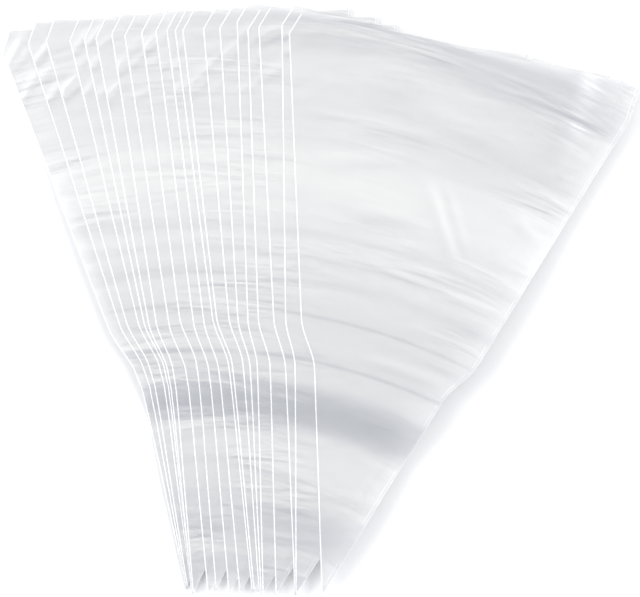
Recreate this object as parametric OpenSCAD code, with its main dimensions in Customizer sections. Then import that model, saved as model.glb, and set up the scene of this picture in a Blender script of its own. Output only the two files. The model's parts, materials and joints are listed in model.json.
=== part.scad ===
// A fan of flat, empty piping bags. Each bag is two film panels joined by a fold along
// its left edge and a weld along its right edge, with a closed tip and an open mouth.
// The bags lie in a stack and swivel on each other about one point beyond the tips.
// +Y runs from the tips to the mouths, +X is to the right, +Z is up.

/* [Fan] */
// Number of bags in the fan
bag_count = 20; // [2:1:20]
// Distance below the row of tips of the point that the bags swivel about
swivel_drop = 152; // [100:1:400]
// Distance of that point to the right of the centre line
swivel_x = -25; // [-60:1:60]
// Height between one bag's top face and the next bag's underside
bag_gap = 0.14; // [0.06:0.01:0.4]

/* [Bag outline] */
// Distance along the centre line from the tip to the shoulders
shoulder_len = 267; // [180:1:300]
// Half of the width across the shoulders
half_w = 87.5; // [60:0.5:110]
// Height of the collar at the left corner of the mouth
left_collar = 11; // [5:0.5:25]
// Height of the collar at the right corner of the mouth
right_collar = 19; // [5:0.5:25]
// How far the left corner of the mouth leans in from the shoulder
left_lean_in = 3.5; // [0:0.5:8]
// How far the right corner of the mouth stands out from the shoulder
right_stand_out = 1; // [0:0.5:4]

/* [Film] */
// Thickness of the film
film_t = 0.07; // [0.04:0.01:0.15]
// Thickness of the seams, which hold the two panels of a bag apart
seam_t = 0.08; // [0.04:0.01:0.15]
// Width of the folded edge on the left
fold_w = 1; // [0.5:0.1:2]
// Width of the weld on the right
weld_w = 2; // [1:0.1:4]

/* [Hidden] */
film_colour = [0.90, 0.92, 0.94];
fold_colour = [0.98, 0.98, 0.99];

// How each bag lies, bottom bag first: the turn of its centre line from +Y to the right
// in degrees, and how far its tip is from the fan's centre line and above the row of tips.
leans = [-1, 1.7, 3.5, 5.6, 7, 8.2, 9.7, 9.5, 10.5, 10.5,
         10.5, 10.2, 10.8, 12.4, 13.8, 15.2, 15.2, 14.3, 16.5, 14.8];
tip_xs = [-32.5, -32.5, -32, -30, -29.5, -29.5, -29, -21.5, -17.5, -11,
          -5.5, 0.5, 1.5, 4, 5, 6, 12.5, 22, 22.5, 35.5];
tip_ys = [3, 4, 4, 3, 2, 1, 1, 0, 3, 0.5,
          0.5, 2.5, 2.5, 2.5, 1, 1, 1, 1, 1, 0.5];
// How much farther each bag's mouth reaches than the top bag's: the ridge across the fan
// takes up less of its film.
reaches = [3.5, 3, 2, 1, 1, 1.5, 2.5, 2.5, 0.5, 3.5,
           4, 2, 1.5, 1.5, 3, 5.5, 1.5, 3, 3.5, 0];

bag_t = 2 * film_t + seam_t;
pitch = bag_t + bag_gap;

// The corners of bag k, with its tip at the origin and its centre line along +Y
tip = [0, 0];
function right_shoulder(k) = [half_w, shoulder_len + reaches[k - 1]];
function right_corner(k) = right_shoulder(k) + [right_stand_out, right_collar];
function left_shoulder(k) = [-half_w, shoulder_len + reaches[k - 1]];
function left_corner(k) = left_shoulder(k) + [left_lean_in, left_collar];
function outline(k) = [tip, right_shoulder(k), right_corner(k), left_corner(k), left_shoulder(k)];

// The pocket between the seams: it ends in a point above the tip and runs out past the mouth
past_mouth = 5;
function pocket(k) =
    let (
        half_apex = atan(half_w / right_shoulder(k).y),
        point_y = (fold_w + weld_w) / (2 * sin(half_apex)),
        weld_x = weld_w / cos(half_apex),
        fold_x = fold_w / cos(half_apex)
    )
    [
        [point_y * tan(half_apex) - weld_x, point_y],
        right_shoulder(k) - [weld_x, 0],
        beyond(right_shoulder(k), right_corner(k), past_mouth) - [weld_w, 0],
        beyond(left_shoulder(k), left_corner(k), past_mouth) + [fold_w, 0],
        left_shoulder(k) + [fold_x, 0]
    ];

// The whole fan's extent, from which the origin is placed under its middle
corners = [for (k = [1 : bag_count]) each [for (p = outline(k)) placed(p, k)]];
x_lo = min([for (p = corners) p.x]);
x_hi = max([for (p = corners) p.x]);
y_lo = min([for (p = corners) p.y]);
y_hi = max([for (p = corners) p.y]);
middle = [(x_lo + x_hi) / 2, (y_lo + y_hi) / 2];

function beyond(a, b, d) = b + d * (b - a) / norm(b - a);
function turned(p, a) = [p.x * cos(a) + p.y * sin(a), p.y * cos(a) - p.x * sin(a)];
function placed(p, k) = turned(p, leans[k - 1]) + [tip_xs[k - 1], tip_ys[k - 1]];
function node_name(k, piece) = str("bag_", k < 10 ? "0" : "", k, "_", piece);

PIECES = ["back_film", "seams", "front_film"];

// The point that every bag swivels about, in the part's own frame
swivel_point = [swivel_x - middle.x, -swivel_drop - middle.y, 0];
echo(swivel_point = swivel_point, size = [x_hi - x_lo, y_hi - y_lo, bag_count * pitch - bag_gap]);

// Puts a flat layer of bag k at its place in the fan, z above the bag's underside
module layer(k, z, t) {
    translate([tip_xs[k - 1] - middle.x, tip_ys[k - 1] - middle.y, (k - 1) * pitch + z])
        rotate([0, 0, -leans[k - 1]])
            linear_extrude(height = t)
                children();
}

module back_film(k) {
    color(film_colour)
        layer(k, 0, film_t)
            polygon(outline(k));
}

module seams(k) {
    color(fold_colour)
        layer(k, film_t, seam_t)
            difference() {
                polygon(outline(k));
                polygon(pocket(k));
            }
}

module front_film(k) {
    color(film_colour)
        layer(k, film_t + seam_t, film_t)
            polygon(outline(k));
}

for (k = [1 : bag_count]) {
    back_film(k);
    seams(k);
    front_film(k);
}
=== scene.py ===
"""A fan of flat, empty piping bags in thin clear film, lying on a white surface, seen from straight above.

Each bag is two film sheets and a pair of seams. The CAD gives every bag's outline and layer, and here the film
gets its folds. They are arcs about the point that the bags swivel about, so the layers nest at every pose.
"""

import json
import math

import bpy
import numpy as np
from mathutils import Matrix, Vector

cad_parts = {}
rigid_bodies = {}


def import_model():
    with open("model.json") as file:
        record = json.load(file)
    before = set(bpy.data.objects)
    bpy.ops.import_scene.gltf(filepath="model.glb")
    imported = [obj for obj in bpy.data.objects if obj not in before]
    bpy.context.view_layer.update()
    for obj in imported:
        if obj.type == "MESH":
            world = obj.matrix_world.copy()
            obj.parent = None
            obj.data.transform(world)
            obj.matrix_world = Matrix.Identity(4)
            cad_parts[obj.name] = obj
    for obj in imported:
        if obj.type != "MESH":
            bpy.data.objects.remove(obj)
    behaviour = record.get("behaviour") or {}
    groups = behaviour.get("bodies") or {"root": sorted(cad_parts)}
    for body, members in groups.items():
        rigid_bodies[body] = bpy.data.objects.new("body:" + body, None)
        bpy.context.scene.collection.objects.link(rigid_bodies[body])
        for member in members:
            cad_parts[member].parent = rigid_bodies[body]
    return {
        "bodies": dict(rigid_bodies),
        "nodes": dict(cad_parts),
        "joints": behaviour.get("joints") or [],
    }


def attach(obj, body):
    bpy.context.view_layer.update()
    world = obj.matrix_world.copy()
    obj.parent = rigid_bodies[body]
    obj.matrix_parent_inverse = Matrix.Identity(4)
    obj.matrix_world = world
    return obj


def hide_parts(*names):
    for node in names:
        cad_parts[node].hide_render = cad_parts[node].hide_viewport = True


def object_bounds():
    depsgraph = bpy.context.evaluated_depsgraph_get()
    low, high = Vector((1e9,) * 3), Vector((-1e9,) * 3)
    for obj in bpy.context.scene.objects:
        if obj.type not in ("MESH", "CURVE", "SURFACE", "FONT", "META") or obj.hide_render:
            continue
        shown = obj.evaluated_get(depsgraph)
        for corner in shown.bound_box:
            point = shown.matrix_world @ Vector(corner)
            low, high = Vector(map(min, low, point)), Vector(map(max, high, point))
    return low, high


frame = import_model()
CAD_LO, CAD_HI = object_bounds()

MM = 0.001
BAGS = sorted(frame["bodies"])
SWIVEL = np.array(frame["joints"][0]["pos_m"][:2])
ARC_R = 300 * MM  # radius at which distances round the swivel point are true


# ---------------------------------------------------------------- folds in the film

def mix(a, b, t):
    return a + (b - a) * t


def smooth(x, a, b):
    """0 below a, 1 above b, and an S-curve between them."""
    t = np.clip((x - a) / (b - a), 0, 1)
    return t * t * (3 - 2 * t)


# The folds, in mm from the swivel point: where each rises, where it falls, how high it is in the top bag and
# the share of that height that it has in the bottom bag. No share is over 1, so a bag never dips into the one
# below.
FOLDS = [
    (151, 172, 206, 246, 0.8, 0.6),
    (180, 203, 203, 244, 1.3, 0.25),
    (238, 264, 302, 392, 3.8, 0.9),
    (274, 276.4, 279, 292, 0.14, 1),
    (296, 298.6, 301, 316, 0.14, 1),
    (311, 319, 352, 384, 0.35, 1),
    (323, 329, 352, 384, 0.22, 1),
    (334, 341, 352, 384, 0.35, 1),
    (425, 448, 490, 500, 1.7, 0.05),
    (440, 462, 490, 500, 1.5, 1),
]


def fold_height(r, level):
    """Height of the folds at distance r from the swivel point. level is 0 in the bottom bag, 1 in the top."""
    r = r / MM
    return MM * sum(
        high * mix(share, 1, level**2) * (smooth(r, a, b) - smooth(r, c, d))
        for a, b, c, d, high, share in FOLDS
    )


RIDGE_FROM, RIDGE_TO = 109 * MM, 131 * MM  # where the packing ridge crosses a bag, from its tip
FLAT_LENGTH = 304.5 * MM  # length of a bag's film from tip to mouth when it is taken out and flattened
GATHER_TOP, GATHER_LOWEST = 0.6, 10.5  # mm that the left edge of the top and lowest bag is drawn in

RIPPLE_WAVES = 9  # waves that add up to a film's ripples
RIPPLE_LENGTHS = 5, 14  # shortest and longest wave, in mm
RIPPLE_TURN = 0.25  # usual angle between a wave and an arc, in radians


def ripples(seed, amount):
    """A function of plan position: fine ripples that run across the bags, no higher than amount."""
    rng = np.random.default_rng(seed)
    size = rng.uniform(0.4, 1, RIPPLE_WAVES)
    size *= amount / size.sum()
    length = rng.uniform(*RIPPLE_LENGTHS, RIPPLE_WAVES) * MM
    angle = rng.normal(0, RIPPLE_TURN, RIPPLE_WAVES)
    phase = rng.uniform(0, 2 * math.pi, RIPPLE_WAVES)

    def height(xy):
        off = xy - SWIVEL
        r = np.linalg.norm(off, axis=-1)
        across = np.arctan2(off[..., 0], off[..., 1]) * ARC_R
        z = np.zeros(r.shape)
        for high, long, turn, start in zip(size, length, angle, phase):
            place = r * math.cos(turn) + across * math.sin(turn)
            z += high * np.sin(2 * math.pi / long * place + start)
        return z

    return height


# ---------------------------------------------------------------- bags, read from the frame

class Bag:
    """One bag's outline in its own axes: u runs from the tip to the mouth, w to the right.

    Its number counts up from the lowest bag, and its level runs from 0 in the lowest bag to 1 in the top one.
    """

    def __init__(self, body):
        self.body = body
        self.number = int(body.split("_")[1])
        self.level = (self.number - 1) / (len(BAGS) - 1)
        back_film = frame["nodes"][f"{body}_back_film"]
        points = np.array([v.co for v in back_film.data.vertices], float)
        self.z = points[:, 2].min()
        flat = np.unique(np.round(points[:, :2], 6), axis=0)
        self.tip = flat[np.argmin(np.linalg.norm(flat - SWIVEL, axis=1))]
        rest = [p for p in flat if np.linalg.norm(p - self.tip) > MM]
        rest.sort(key=lambda p: -math.atan2(*(p - self.tip)[::-1]))
        middle = (rest[0] + rest[-1]) / 2 - self.tip
        self.axis = middle / np.linalg.norm(middle)
        self.side = np.array([self.axis[1], -self.axis[0]])
        self.left_shoulder, self.left_corner, self.right_corner, self.right_shoulder = map(self.local, rest)
        self.shoulder_u = self.left_shoulder[1]
        self.half_w = self.right_shoulder[0]
        self.taken = FLAT_LENGTH - self.right_corner[1]

    def local(self, p):
        return np.array([(p - self.tip) @ self.side, (p - self.tip) @ self.axis])

    def plan(self, w, u):
        """Plan position in the frame of points (w, u) in the bag's own axes."""
        return self.tip + w[..., None] * self.side + u[..., None] * self.axis

    def developed(self, u):
        """Length of film from the tip to a row at u along the centre line: the ridge takes up the rest."""
        return u + self.taken * smooth(u, RIDGE_FROM, RIDGE_TO)

    def edges(self, rows):
        """Left and right edge points at each row. Rows 0 to 1 are the cone, and rows 1 to 2 the collar."""
        u = np.minimum(rows, 1) * self.shoulder_u
        w = self.half_w * self.developed(u) / self.developed(self.shoulder_u)
        left, right = np.stack([self.gathered(u) - w, u], 1), np.stack([w, u], 1)
        collar = np.clip(rows - 1, 0, 1)[:, None]
        left = left + collar * (self.left_corner - self.left_shoulder)
        right = right + collar * (self.right_corner - self.right_shoulder)
        return left, right

    def gathered(self, u):
        """How far the left edge is drawn in at u: most just under the ridge, and most in the lowest bags."""
        most = mix(GATHER_TOP, GATHER_LOWEST, (1 - self.level) ** 2.2) * MM
        return most * np.interp(u, [0, RIDGE_FROM * 0.92, RIDGE_TO, self.shoulder_u], [0, 1, 0.8, 0])


# Rows are arcs about the swivel point between these distances from it, in mm. Past them they turn into the
# line of the mouth.
ARCS_FROM, ARCS_TO = 140, 402
CREST_LINES = (273.5, 277), (295.5, 299)  # mm from the swivel point between which a crest line lies
ROW_GAP, CREST_GAP = 1.7, 0.45  # between rows, and between rows over a crest line, in mm
MOUTH_ROWS = 34  # rows past the arcs
EDGE_STEPS = 2001  # points that a bag's edge is measured at


def row_radii():
    """Radii of the rows, close together over the two crest lines of the ridge."""
    (first, first_end), (second, second_end) = CREST_LINES
    crests = [np.arange(a, b, CREST_GAP) for a, b in CREST_LINES]
    between = (ARCS_FROM, first), (first_end, second), (second_end, ARCS_TO)
    plain = [np.arange(a, b, ROW_GAP) for a, b in between]
    return np.sort(np.concatenate(crests + plain)) * MM


def rows_of(bag, columns, crowd=1):
    """Points (w, u) of a bag's grid, row by row from the tip to the mouth, and its columns' places, 0 to 1.

    With crowd over 1 the columns stand closer at the left, which is the side that the bags above leave open.
    """
    steps = np.linspace(0, 2, EDGE_STEPS)
    edges = bag.edges(steps)
    reach = [np.linalg.norm(bag.plan(e[:, 0], e[:, 1]) - SWIVEL, axis=1) for e in edges]
    start = np.linalg.norm(bag.tip - SWIVEL)
    radii = row_radii()
    radii = np.concatenate([[start], radii[radii > start + ROW_GAP * MM / 2]])
    past = np.linspace(0, 1, MOUTH_ROWS + 1)[1:]
    t = np.linspace(0, 1, columns) ** crowd
    sides = []
    for edge, r in zip(edges, reach):
        at = np.concatenate([radii, mix(ARCS_TO * MM, r[-1], past)])
        step = np.interp(at, r, steps)
        sides.append(np.stack([np.interp(step, steps, edge[:, i]) for i in (0, 1)], 1))
    left, right = sides
    straight = left[:, None] + (right - left)[:, None] * t[None, :, None]
    centre = bag.local(SWIVEL)
    polar = [(np.linalg.norm(p - centre, axis=1), np.arctan2(*(p - centre).T)) for p in (left, right)]
    r = mix(polar[0][0][:, None], polar[1][0][:, None], t)
    a = mix(polar[0][1][:, None], polar[1][1][:, None], t)
    curved = centre + np.stack([r * np.sin(a), r * np.cos(a)], -1)
    to_line = np.concatenate([np.zeros(len(radii)), past**2])[:, None, None]
    return mix(curved, straight, to_line), t


# ---------------------------------------------------------------- mesh helpers

def new_mesh(name, verts, faces, material):
    """A smooth-shaded piece."""
    mesh = bpy.data.meshes.new(name)
    mesh.from_pydata([tuple(v) for v in verts], [], faces)
    mesh.update()
    mesh.polygons.foreach_set("use_smooth", [True] * len(mesh.polygons))
    mesh.materials.append(material)
    piece = bpy.data.objects.new(name, mesh)
    bpy.context.scene.collection.objects.link(piece)
    return piece


def sheet_mesh(name, grid, creases, material):
    """A sheet from a grid of points whose first row is all one point, the bag's tip.

    Its points also carry what the material's fine relief needs: "arcs", their place round and out from the
    swivel point, and "creases", from 0 to 1.
    """
    rows, cols = grid.shape[:2]
    verts = np.concatenate([grid[0, :1], grid[1:].reshape(-1, 3)])

    def at(i, j):
        return 1 + (i - 1) * cols + j

    faces = [(0, at(1, j + 1), at(1, j)) for j in range(cols - 1)]
    faces += [
        (at(i, j), at(i, j + 1), at(i + 1, j + 1), at(i + 1, j))
        for i in range(1, rows - 1)
        for j in range(cols - 1)
    ]
    sheet = new_mesh(name, verts, faces, material)
    off = verts[:, :2] - SWIVEL
    arcs = np.column_stack([np.arctan2(*off.T) * ARC_R, np.linalg.norm(off, axis=1), np.zeros(len(verts))])
    sheet.data.attributes.new("arcs", "FLOAT_VECTOR", "POINT").data.foreach_set("vector", arcs.ravel())
    creases = np.concatenate([creases[0, :1], creases[1:].ravel()])
    sheet.data.attributes.new("creases", "FLOAT", "POINT").data.foreach_set("value", creases)
    return sheet


def swept(path, inward, section):
    """Points and faces of a bar that has the cross-section's points (inward, up) at each point of a path."""
    n, m = len(path), len(section)
    verts = [p + d * s[0] + np.array([0, 0, s[1]]) for p, d in zip(path, inward) for s in section]
    faces = [
        (i * m + j, i * m + (j + 1) % m, (i + 1) * m + (j + 1) % m, (i + 1) * m + j)
        for i in range(n - 1)
        for j in range(m)
    ]
    faces += [tuple(range(m))[::-1], tuple((n - 1) * m + j for j in range(m))]
    return verts, faces


def oval(width, height, sides=10):
    """A flat oval whose outer side is at 0."""
    turns = [2 * math.pi * i / sides for i in range(sides)]
    return [(width / 2 - width / 2 * math.cos(a), height / 2 * math.sin(a)) for a in turns]


# ---------------------------------------------------------------- materials

def node(tree, kind, **inputs):
    """A shader node with the given inputs set. An underscore in a name stands for a space."""
    made = tree.nodes.new(kind)
    for key, value in inputs.items():
        made.inputs[key.replace("_", " ")].default_value = value
    return made


def noise(tree, source, scale, **inputs):
    """The factor of a noise over the source's coordinates, times scale."""
    place = node(tree, "ShaderNodeMapping", Scale=scale)
    tree.links.new(source, place.inputs["Vector"])
    made = node(tree, "ShaderNodeTexNoise", Scale=1.0, **inputs)
    tree.links.new(place.outputs["Vector"], made.inputs["Vector"])
    return made.outputs["Fac"]


def attribute(tree, name):
    """The shader node that reads a value which the mesh carries."""
    made = tree.nodes.new("ShaderNodeAttribute")
    made.attribute_name = name
    return made


CLOUD_SCALE = 60, 22, 60  # per metre: the haze's clouds, drawn out from the tips to the mouths
STREAK_SCALE = 15, 90, 1  # per metre round and out from the swivel point: the streaks
PATCH_SCALE = 17, 26, 1  # the same, of the patches in which the streaks are strong
CREASE_BUMP = 0.24 * MM  # height of the relief of a whole crease
FILM_ROUGH, SEAM_ROUGH = 0.28, 0.3  # roughness
EDGE_ON_GLOSS = 0.95  # share of gloss in film that is seen edge-on


def cloudy_body(tree, haze):
    """The film without its gloss: clear, with a share of clouds of about haze."""
    link = tree.links.new
    where = tree.nodes.new("ShaderNodeTexCoord")
    clouds = noise(tree, where.outputs["Object"], CLOUD_SCALE, Detail=1.0, Roughness=0.5)
    least, most = haze * 0.8, haze * 1.2
    amount = node(tree, "ShaderNodeMapRange", From_Min=0.2, From_Max=0.8, To_Min=least, To_Max=most)
    link(clouds, amount.inputs["Value"])
    clear = node(tree, "ShaderNodeBsdfTransparent", Color=(0.9993, 0.9996, 1, 1))
    cloudy = node(tree, "ShaderNodeBsdfDiffuse", Color=(0.98, 0.98, 0.98, 1), Roughness=0.0)
    body = tree.nodes.new("ShaderNodeMixShader")
    link(amount.outputs["Result"], body.inputs["Fac"])
    link(clear.outputs["BSDF"], body.inputs[1])
    link(cloudy.outputs["BSDF"], body.inputs[2])
    return body.outputs["Shader"]


def film_relief(tree, streak, calm):
    """The film's fine relief: streaks along the arcs, in patches, and the creases that the mesh carries."""
    link = tree.links.new
    arcs = attribute(tree, "arcs").outputs["Vector"]
    streaks = noise(tree, arcs, STREAK_SCALE, Detail=3.0, Roughness=0.55, Distortion=0.3)
    patches = noise(tree, arcs, PATCH_SCALE, Detail=1.0)
    strength = node(tree, "ShaderNodeMapRange", From_Min=0.38, From_Max=0.68, To_Min=calm, To_Max=1)
    strength.interpolation_type = "SMOOTHSTEP"
    link(patches, strength.inputs["Value"])
    bump = node(tree, "ShaderNodeBump", Distance=streak)
    link(strength.outputs["Result"], bump.inputs["Strength"])
    link(streaks, bump.inputs["Height"])
    creases = node(tree, "ShaderNodeBump", Strength=1.0, Distance=CREASE_BUMP)
    link(attribute(tree, "creases").outputs["Fac"], creases.inputs["Height"])
    link(bump.outputs["Normal"], creases.inputs["Normal"])
    return creases.outputs["Normal"]


def gloss_share(tree, gloss):
    """The share of gloss: as given where the film is seen straight on, and more towards edge-on."""
    link = tree.links.new
    tilt = node(tree, "ShaderNodeLayerWeight", Blend=0.5)
    grazing = tree.nodes.new("ShaderNodeMath")
    grazing.operation = "POWER"
    grazing.inputs[1].default_value = 5
    link(tilt.outputs["Facing"], grazing.inputs[0])
    share = node(tree, "ShaderNodeMapRange", From_Min=0, From_Max=1, To_Min=gloss, To_Max=EDGE_ON_GLOSS)
    link(grazing.outputs["Value"], share.inputs["Value"])
    return share.outputs["Result"]


def film_material(name, haze, gloss, streak, calm):
    """Clear film: see-through with a faint cloudy haze, under a soft gloss on both faces.

    haze and gloss are shares of the light. streak is the height of the streaks in metres, and calm is the
    share of it that is left between their patches.
    """
    material = bpy.data.materials.new(name)
    material.use_nodes = True
    tree = material.node_tree
    tree.nodes.clear()
    link = tree.links.new
    shine = node(tree, "ShaderNodeBsdfAnisotropic", Color=(0.996, 0.998, 1, 1), Roughness=FILM_ROUGH)
    link(film_relief(tree, streak, calm), shine.inputs["Normal"])
    film = tree.nodes.new("ShaderNodeMixShader")
    link(gloss_share(tree, gloss), film.inputs["Fac"])
    link(cloudy_body(tree, haze), film.inputs[1])
    link(shine.outputs["BSDF"], film.inputs[2])
    link(film.outputs["Shader"], tree.nodes.new("ShaderNodeOutputMaterial").inputs["Surface"])
    return material


def seam_material():
    """Folded and welded film in nearly solid white with a fine grain; the white is a painted highlight for the
    glint of the fold and the weld bead.
    """
    material = bpy.data.materials.new("seam_film")
    material.use_nodes = True
    tree = material.node_tree
    link = tree.links.new
    shader = tree.nodes["Principled BSDF"]
    # Painted highlight: this white stands in for the glint along the folded edge and the weld bead.
    shader.inputs["Base Color"].default_value = (0.90, 0.90, 0.905, 1)
    shader.inputs["Roughness"].default_value = SEAM_ROUGH
    where = tree.nodes.new("ShaderNodeTexCoord")
    grain = node(tree, "ShaderNodeTexNoise", Scale=700.0, Detail=2.0)
    link(where.outputs["Object"], grain.inputs["Vector"])
    solid = node(tree, "ShaderNodeMapRange", From_Min=0.3, From_Max=0.7, To_Min=0.75, To_Max=0.95)
    link(grain.outputs["Fac"], solid.inputs["Value"])
    link(solid.outputs["Result"], shader.inputs["Alpha"])
    bump = node(tree, "ShaderNodeBump", Strength=0.2, Distance=0.2 * MM)
    link(grain.outputs["Fac"], bump.inputs["Height"])
    link(bump.outputs["Normal"], shader.inputs["Normal"])
    return material


FILM = film_material("clear_film", haze=0.06, gloss=0.48, streak=1.6 * MM, calm=0.25)
TOP_FILM = film_material("top_film", haze=0.06, gloss=0.48, streak=0.7 * MM, calm=0.1)
SEAM = seam_material()


# ---------------------------------------------------------------- the pieces of a bag

COLUMNS, TOP_COLUMNS = 40, 110  # columns of a sheet, and of the top bag's front sheet
CROWD = 2  # how much closer a sheet's columns stand at the left, except in the top bag's front sheet
BACK_UP, FRONT_UP = 0.05 * MM, 0.20 * MM  # heights of a bag's two films in its layer
CLOSED_WITHIN = 3 * MM  # the films part over this distance from a seam
BAG_RIPPLE, FILM_RIPPLE = 0.04 * MM, 0.025 * MM  # ripples of a whole bag, and of one film on its own
CORNER_CREASE = 0.08 * MM  # height of the creases at the left of the mouth, without their bump
CORNER_CREASES = 3  # of them in each bag
CORNER_FEET = 234, 264  # mm from the tip between which they start, at the left edge
SHOULDERS = 267  # mm from the tip to the top bag's shoulders, which stand half its width out
CREASE_SEED = 100  # the random draws of bag N's creases start from this + N


def is_top(bag):
    return bag.number == len(BAGS)


def crease(w, u, start, end, width):
    """A straight crease between two points of a bag's own axes: 1 on it, and less beside it and at its ends.

    start, end and width are in mm.
    """
    start, end = np.array(start) * MM, np.array(end) * MM
    run = end - start
    length = np.linalg.norm(run)
    run /= length
    off = np.stack([w - start[0], u - start[1]], -1)
    along, across = off @ run, off @ np.array([run[1], -run[0]])
    ends = smooth(along, -0.1 * length, 0.25 * length) * (1 - smooth(along, 0.7 * length, 1.1 * length))
    return np.exp(-((across / (width * MM)) ** 2)) * ends


def corner_creases(bag, w, u):
    """The short creases that run up and inwards from a bag's left edge to its mouth."""
    rng = np.random.default_rng(CREASE_SEED + bag.number)
    left = -bag.half_w / MM
    total = np.zeros(w.shape)
    for foot in rng.uniform(*CORNER_FEET, CORNER_CREASES):
        start = (left * foot / SHOULDERS + rng.uniform(-2, 2), foot)
        end = (start[0] + rng.uniform(8, 15), foot + rng.uniform(11, 19))
        total += rng.uniform(0.5, 1) * crease(w, u, start, end, rng.uniform(1.8, 3))
    return np.minimum(total, 1)


def film_height(bag, up, seed, xy, w, u, parted):
    """Height of a film: up above the foot of its bag's layer where parted is 1, and midway where it is 0."""
    shut = (BACK_UP + FRONT_UP) / 2
    r = np.linalg.norm(xy - SWIVEL, axis=-1)
    own = ripples(seed, FILM_RIPPLE)(xy) * parted
    shared = ripples(bag.number, BAG_RIPPLE)(xy) + CORNER_CREASE * corner_creases(bag, w, u)
    return bag.z + fold_height(r, bag.level) + shut + (up - shut) * parted + own + shared


def film(bag, side, up, seed):
    """One of a bag's two film sheets."""
    top = is_top(bag) and side == "front"
    points, t = rows_of(bag, TOP_COLUMNS) if top else rows_of(bag, COLUMNS, CROWD)
    w, u = points[..., 0], points[..., 1]
    width = (w[:, -1] - w[:, 0])[:, None]
    parted = 1 - np.exp(-((np.minimum(t, 1 - t)[None] * width / CLOSED_WITHIN) ** 2))
    if top:
        w = w - open_mouth_pull(u, t)
    xy = bag.plan(w, u)
    z = film_height(bag, up, seed, xy, w, u, parted)
    if top:
        z += top_swell(w, u, t, parted)
    grid = np.concatenate([xy, z[..., None]], -1)
    name = f"{bag.body}_{side}_sheet"
    if top:
        return sheet_mesh(name, grid, np.zeros(w.shape), TOP_FILM)
    return sheet_mesh(name, grid, corner_creases(bag, w, u), FILM)


PULL, PULL_FROM = 9 * MM, 250 * MM  # how far the top film's right corner is drawn in, and from where on
BOW, BOW_FROM, BOW_LEFT = 0.9, 238 * MM, 0.62  # its bow: height in mm, and where it starts along and across
FULL_FROM = 288 * MM  # where the pull and the bow are whole
SWELL_EDGE = 0.17  # share of the width over which the swellings fade to nothing at each side


def open_mouth_pull(u, t):
    """The top bag's front film bows up at the right of its mouth, which draws its corner in to the left."""
    return PULL * smooth(u, PULL_FROM, FULL_FROM) * smooth(t, 0.7, 1)


# Soft swellings of the top film: centre (w, u) and size along w and u in mm, clockwise turn in degrees and
# height in mm.
SWELLS = [
    (34, 284, 38, 36, -4, 2.9),
    (-28, 262, 15, 12, 0, 1.2),
    (56, 255, 12, 16, 10, 1.0),
    (-30, 292, 30, 16, 0, 0.9),
    (10, 243, 44, 8, 8, 0.55),
    (-28, 194, 17, 7, 8, 0.35),
    (48, 150, 18, 8, 20, 0.5),
    (26, 84, 18, 8, 12, 0.3),
]

# Creases of the top film: start and end (w, u), width and height in mm.
TOP_CREASES = [
    ((-65, 206), (-17, 220), 3.5, 0.30),
    ((-33, 189), (-4, 193), 4, 0.35),
    ((-3, 214), (22, 175), 3.5, 0.50),
    ((6, 216), (27, 182), 2.4, 0.25),
    ((44, 207), (67, 193), 4, 0.45),
    ((58, 214), (76, 222), 3, 0.40),
    ((-26, 167), (13, 163), 1.8, 0.22),
    ((20, 160), (52, 158), 2.2, 0.25),
    ((60, 232), (72, 246), 3, 0.30),
    ((-46, 230), (4, 236), 4, 0.22),
    ((68, 240), (79, 266), 2.6, 0.25),
    ((-12, 120), (34, 117), 2.2, 0.20),
]


def top_swell(w, u, t, parted):
    """How far the top film stands above a film that lies flat."""
    z = np.zeros(w.shape)
    for w0, u0, size_w, size_u, turn, high in SWELLS:
        a = math.radians(turn)
        x, y = w / MM - w0, u / MM - u0
        along, across = x * math.cos(a) - y * math.sin(a), x * math.sin(a) + y * math.cos(a)
        z += high * np.exp(-((along / size_w) ** 2) - (across / size_u) ** 2)
    for start, end, width, high in TOP_CREASES:
        z += high * crease(w, u, start, end, width)
    across_bow = np.clip((t - BOW_LEFT) / (1 - BOW_LEFT), 0, 1)
    bow = BOW * smooth(u, BOW_FROM, FULL_FROM) * np.sin(math.pi * across_bow) ** 2
    return MM * (z * smooth(np.minimum(t, 1 - t), 0, SWELL_EDGE) + bow) * parted


FOLD_W, FOLD_T = 0.6 * MM, 0.2 * MM  # the folded edge, flattened
WELD_W, WELD_RIB = 1.7 * MM, 0.18 * MM  # the weld, and the rib at each side of it
INNER_RIB_FROM = 4  # the row at which the weld's inner rib starts, clear of the tip


def seams(bag):
    """The folded edge on the left and the weld on the right, in one piece that meets at the tip."""
    points, _ = rows_of(bag, 2)
    left, right = points[:, 0], points[:, 1]
    lift = bag.z + (BACK_UP + FRONT_UP) / 2
    ripple = ripples(bag.number, BAG_RIPPLE)

    def along(edge, inward):
        xy = bag.plan(edge[:, 0], edge[:, 1])
        r = np.linalg.norm(xy - SWIVEL, axis=1)
        creases = CORNER_CREASE * corner_creases(bag, edge[:, 0], edge[:, 1])
        z = lift + fold_height(r, bag.level) + ripple(xy) + creases
        slope = np.gradient(xy, axis=0)
        slope /= np.linalg.norm(slope, axis=1)[:, None]
        across = np.stack([slope[:, 1], -slope[:, 0]], 1) * inward
        return np.column_stack([xy, z]), np.column_stack([across, np.zeros(len(xy))])

    verts, faces = [], []

    def add(part):
        start = len(verts)
        verts.extend(part[0])
        faces.extend(tuple(start + i for i in f) for f in part[1])

    add(swept(*along(left, 1), oval(FOLD_W, FOLD_T)))
    path, inward = along(right, -1)
    rib = oval(WELD_RIB, WELD_RIB / 3)
    inner_rib = [(x + WELD_W, y) for x, y in rib]
    add(swept(path, inward, rib))
    add(swept(path[INNER_RIB_FROM:], inward[INNER_RIB_FROM:], inner_rib))
    return new_mesh(f"{bag.body}_edge_seams", verts, faces, SEAM)


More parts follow.
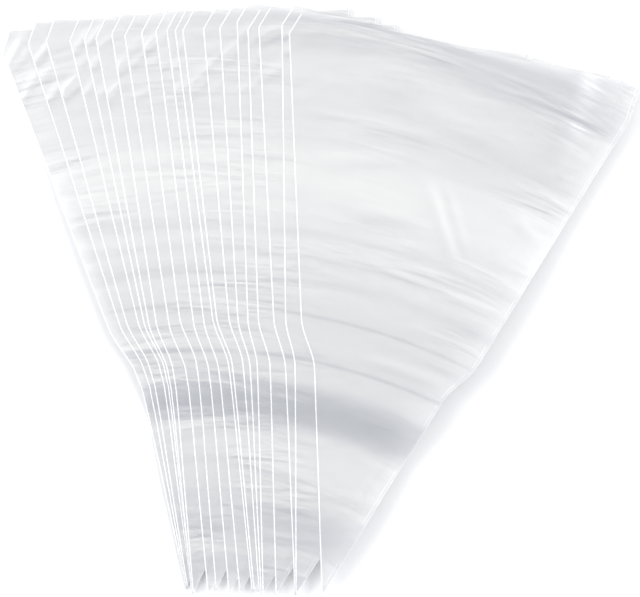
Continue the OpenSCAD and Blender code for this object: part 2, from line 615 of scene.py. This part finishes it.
def make_bag(body):
    """A bag's three pieces, riding on its body. Each sheet rests on the one below it."""
    bag = Bag(body)
    back = film(bag, "back", BACK_UP, 2 * bag.number)
    front = film(bag, "front", FRONT_UP, 2 * bag.number + 1)
    edges = seams(bag)
    parts = (back, "back_film", "film"), (front, "front_film", "film"), (edges, "seams", "seam")
    for piece, part, slot in parts:
        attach(piece, body)
        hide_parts(f"{body}_{part}")


# ---------------------------------------------------------------- surface, camera and light

FLOOR_REACH, FLOOR_GAP = 6.0, 0.2 * MM  # from the middle to a side, and from the surface to the lowest bag
FLOOR_SHADE = 0.79  # of the white surface
CAMERA_AWAY = 1.1  # above the fan's mid-height
VIEW_WIDTH = (CAD_HI.x - CAD_LO.x) * 1.004  # of the picture, at the fan's mid-height
VIEW_SHIFT = 0.5 * MM  # the view's middle, from the fan's middle towards the mouths
SENSOR = 36  # width of the camera's sensor in mm


def make_floor():
    mesh = bpy.data.meshes.new("floor")
    corners = [(x * FLOOR_REACH, y * FLOOR_REACH, 0) for x, y in ((-1, -1), (1, -1), (1, 1), (-1, 1))]
    mesh.from_pydata(corners, [], [(0, 1, 2, 3)])
    floor = bpy.data.objects.new("floor", mesh)
    bpy.context.scene.collection.objects.link(floor)
    floor.location.z = CAD_LO.z - FLOOR_GAP
    material = bpy.data.materials.new("white_surface")
    material.use_nodes = True
    shader = material.node_tree.nodes["Principled BSDF"]
    shader.inputs["Base Color"].default_value = (FLOOR_SHADE, FLOOR_SHADE, FLOOR_SHADE, 1)
    shader.inputs["Roughness"].default_value = 0.9
    shader.inputs["Specular IOR Level"].default_value = 0.1
    mesh.materials.append(material)
    return floor


def make_camera():
    """Straight above the fan, far enough away for a flat view."""
    data = bpy.data.cameras.new("camera")
    camera = bpy.data.objects.new("camera", data)
    bpy.context.scene.collection.objects.link(camera)
    data.sensor_width = SENSOR
    data.lens = SENSOR * CAMERA_AWAY / VIEW_WIDTH
    middle_x = CAD_LO.x / 2 + CAD_HI.x / 2
    middle_y = CAD_LO.y / 2 + CAD_HI.y / 2
    camera.location = (middle_x, middle_y + VIEW_SHIFT, CAD_HI.z / 2 + CAMERA_AWAY)
    bpy.context.scene.camera = camera


BOX_PLACE = Vector((1.5, 0.3, 1.25))  # of the right soft box
BOX_SIZE, BOX_RADIANCE = 1.2, 5.6  # its side, and how bright its face is whatever its size
LIGHT_TILT = math.radians(30)  # the brightest part of the studio leans from overhead to the mouths' side
# The studio's brightness by the cosine of the angle from its brightest part. Overhead is at 0.87.
STUDIO = [
    (0.55, (0.54, 0.56, 0.61, 1)),
    (0.74, (0.71, 0.73, 0.77, 1)),
    (0.83, (0.89, 0.90, 0.92, 1)),
    (0.89, (0.935, 0.935, 0.935, 1)),
    (0.98, (1.16, 1.16, 1.15, 1)),
]


def soft_box(name, side):
    """A square soft box that faces the fan's middle. side is 1 for the right one and -1 for the left one."""
    data = bpy.data.lights.new(name, "AREA")
    data.shape = "SQUARE"
    data.size = BOX_SIZE
    data.energy = BOX_RADIANCE * math.pi * BOX_SIZE * BOX_SIZE
    lamp = bpy.data.objects.new(name, data)
    bpy.context.scene.collection.objects.link(lamp)
    place = Vector((side * BOX_PLACE.x, BOX_PLACE.y, BOX_PLACE.z))
    lamp.location = place
    lamp.rotation_euler = (-place).to_track_quat("-Z", "Y").to_euler()


def make_studio():
    """A white room that is bright overhead and dims towards the tips' side."""
    world = bpy.data.worlds.new("studio")
    world.use_nodes = True
    tree = world.node_tree
    link = tree.links.new
    where = tree.nodes.new("ShaderNodeTexCoord")
    facing = tree.nodes.new("ShaderNodeVectorMath")
    facing.operation = "DOT_PRODUCT"
    facing.inputs[1].default_value = (0, math.sin(LIGHT_TILT), math.cos(LIGHT_TILT))
    link(where.outputs["Generated"], facing.inputs[0])
    shades = tree.nodes.new("ShaderNodeValToRGB")
    ramp = shades.color_ramp
    ramp.elements[0].position, ramp.elements[0].color = STUDIO[0]
    ramp.elements[1].position, ramp.elements[1].color = STUDIO[-1]
    for place, colour in STUDIO[1:-1]:
        ramp.elements.new(place).color = colour
    link(facing.outputs["Value"], shades.inputs["Fac"])
    link(shades.outputs["Color"], tree.nodes["Background"].inputs["Color"])
    bpy.context.scene.world = world


# Light passes up to 40 films, and turns back and forth between them.
PASSES, TURNS = 96, 24

FLOOR = make_floor()
make_camera()
soft_box("left_side", -1)
soft_box("right_side", 1)
make_studio()
for body in BAGS:
    make_bag(body)

scene = bpy.context.scene
scene.view_settings.view_transform = "Standard"
scene.cycles.transparent_max_bounces = PASSES
scene.cycles.max_bounces = TURNS
scene.cycles.glossy_bounces = TURNS
